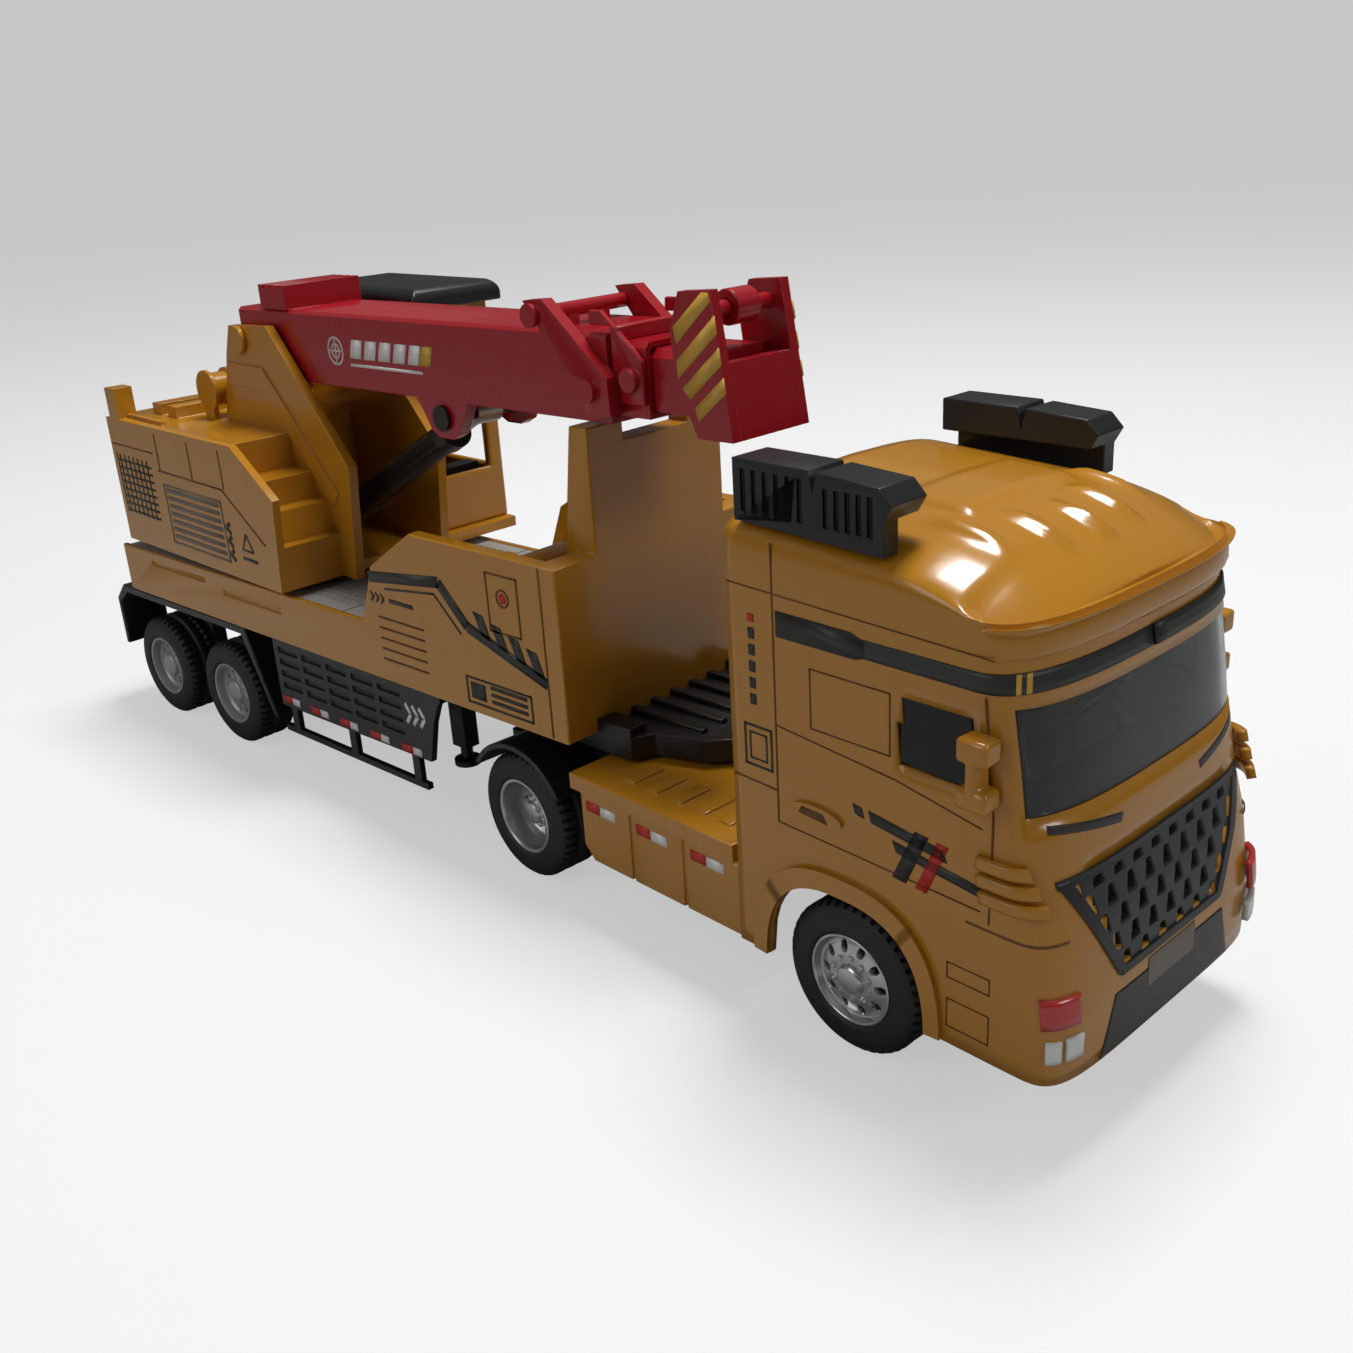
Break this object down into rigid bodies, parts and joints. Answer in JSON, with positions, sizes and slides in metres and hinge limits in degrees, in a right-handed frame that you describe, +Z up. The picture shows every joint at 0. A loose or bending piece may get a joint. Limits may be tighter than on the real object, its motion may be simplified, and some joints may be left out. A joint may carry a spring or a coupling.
{
  "type": "toy crane truck",
  "caption": "Toy mobile crane: tractor and semi-trailer with a slewing crane house, operator cab and a luffing, telescoping boom.",
  "frame": {"origin": "centre of the overall box at rest, on the plane the tyres stand on", "axes": "+X forward from the trailer to the tractor cab, +Y to the left, +Z up"},
  "size_m": [0.2347, 0.0644, 0.094],
  "materials": {
    "yellow_plastic": "moulded, glossy",
    "red_plastic": "moulded, glossy",
    "black_plastic": "moulded, satin",
    "grey_plastic": "printed chequer plate",
    "silver_rim": "plated",
    "grey_rim": "silver painted",
    "tyre_rubber": "moulded tread",
    "steel": "plain",
    "clear_glazing": "smoked clear",
    "dark_glazing": "tinted",
    "lamp_clear": "lens",
    "lamp_red": "lens"
  },
  "bodies": {
    "trailer": {"trailer_body": "yellow_plastic", "deck_plate": "grey_plastic", "trailer_frame": "black_plastic", "wheel_guard_right": "black_plastic", "wheel_guard_left": "black_plastic", "side_skirt_right": "black_plastic", "side_skirt_left": "black_plastic", "landing_legs": "black_plastic", "coupling_nose": "black_plastic", "kingpin": "steel", "winch_drum": "yellow_plastic", "trailer_screws": "steel"},
    "tractor": {"tractor_frame": "black_plastic", "fifth_wheel": "black_plastic", "tractor_deck": "yellow_plastic", "mudguard_right": "black_plastic", "mudguard_left": "black_plastic", "cab_shell": "yellow_plastic", "windscreen": "clear_glazing", "side_windows": "dark_glazing", "headlamps": "lamp_clear", "marker_lamps": "lamp_red", "grille": "black_plastic", "lower_grille": "black_plastic", "cab_interior": "black_plastic", "cab_back_panel": "black_plastic", "roof_fairing_right": "black_plastic", "roof_fairing_left": "black_plastic", "mirror_right": "yellow_plastic", "mirror_left": "yellow_plastic"},
    "house": {"crane_house": "yellow_plastic", "operator_cab": "yellow_plastic", "operator_seat": "black_plastic", "operator_cab_roof": "black_plastic", "hoist_winch": "yellow_plastic", "slew_retainer": "steel", "boom_pivot_pin": "yellow_plastic", "ram_base_pin": "steel"},
    "boom": {"outer_boom": "red_plastic", "outer_collar": "red_plastic", "lug_studs": "black_plastic"},
    "boom_middle": {"middle_boom": "red_plastic", "middle_collar": "red_plastic"},
    "boom_inner": {"inner_boom": "red_plastic", "boom_head": "red_plastic", "head_sheave": "red_plastic"},
    "barrel": {"ram_barrel": "black_plastic"},
    "rod": {"ram_rod": "steel"},
    "trailer_rear_wheels": {"trailer_rear_axle": "steel", "trailer_rear_rims": "grey_rim", "trailer_rear_tyres": "tyre_rubber"},
    "trailer_mid_wheels": {"trailer_mid_axle": "steel", "trailer_mid_rims": "grey_rim", "trailer_mid_tyres": "tyre_rubber"},
    "drive_wheels": {"drive_axle": "steel", "drive_rims": "silver_rim", "drive_tyres": "tyre_rubber"},
    "steer_wheels": {"steer_axle": "steel", "steer_rims": "silver_rim", "steer_tyres": "tyre_rubber"}
  },
  "joints": [
    {"name": "hitch", "type": "hinge", "parent": "trailer", "child": "tractor", "pos_m": [0.01765, 0.00121, 0.0225], "axis": [0, 0, 1], "range_deg": [-56, 64]},
    {"name": "trailer_rear_spin", "type": "hinge", "parent": "trailer", "child": "trailer_rear_wheels", "pos_m": [-0.10145, 0.00121, 0.0107], "axis": [0, 1, 0], "continuous": true},
    {"name": "trailer_mid_spin", "type": "hinge", "parent": "trailer", "child": "trailer_mid_wheels", "pos_m": [-0.07475, 0.00121, 0.0107], "axis": [0, 1, 0], "continuous": true},
    {"name": "drive_spin", "type": "hinge", "parent": "tractor", "child": "drive_wheels", "pos_m": [0.01645, 0.00129, 0.0107], "axis": [0.0698, 0.9976, 0], "continuous": true},
    {"name": "steer_spin", "type": "hinge", "parent": "tractor", "child": "steer_wheels", "pos_m": [0.08489, -0.00349, 0.0107], "axis": [0.0698, 0.9976, 0], "continuous": true},
    {"name": "slew", "type": "hinge", "parent": "trailer", "child": "house", "pos_m": [-0.07635, 0.00121, 0.033], "axis": [0, 0, 1], "continuous": true},
    {"name": "boom_luff", "type": "hinge", "parent": "house", "child": "boom", "pos_m": [-0.06796, 0.00081, 0.0804], "axis": [-0.0471, -0.9989, 0], "range_deg": [0, 45]},
    {"name": "extend_middle", "type": "slide", "parent": "boom", "child": "boom_middle", "axis": [0.9988, -0.0471, 0.014], "range_m": [0, 0.03]},
    {"name": "extend_inner", "type": "slide", "parent": "boom_middle", "child": "boom_inner", "axis": [0.9988, -0.0471, 0.014], "range_m": [0, 0.03]},
    {"name": "ram_swing", "type": "hinge", "parent": "house", "child": "barrel", "pos_m": [-0.05907, 0.0004, 0.0448], "axis": [-0.0471, -0.9989, 0], "range_deg": [0, 33.41]},
    {"name": "ram_stroke", "type": "slide", "parent": "barrel", "child": "rod", "axis": [0.886, -0.0418, 0.4617], "range_m": [0, 0.02441]}
  ],
  "couplings": [
    {"joint": "ram_swing", "follows": "boom_luff", "ratio": 0.7424},
    {"joint": "ram_stroke", "follows": "boom_luff", "m_per_rad": 0.03108}
  ]
}
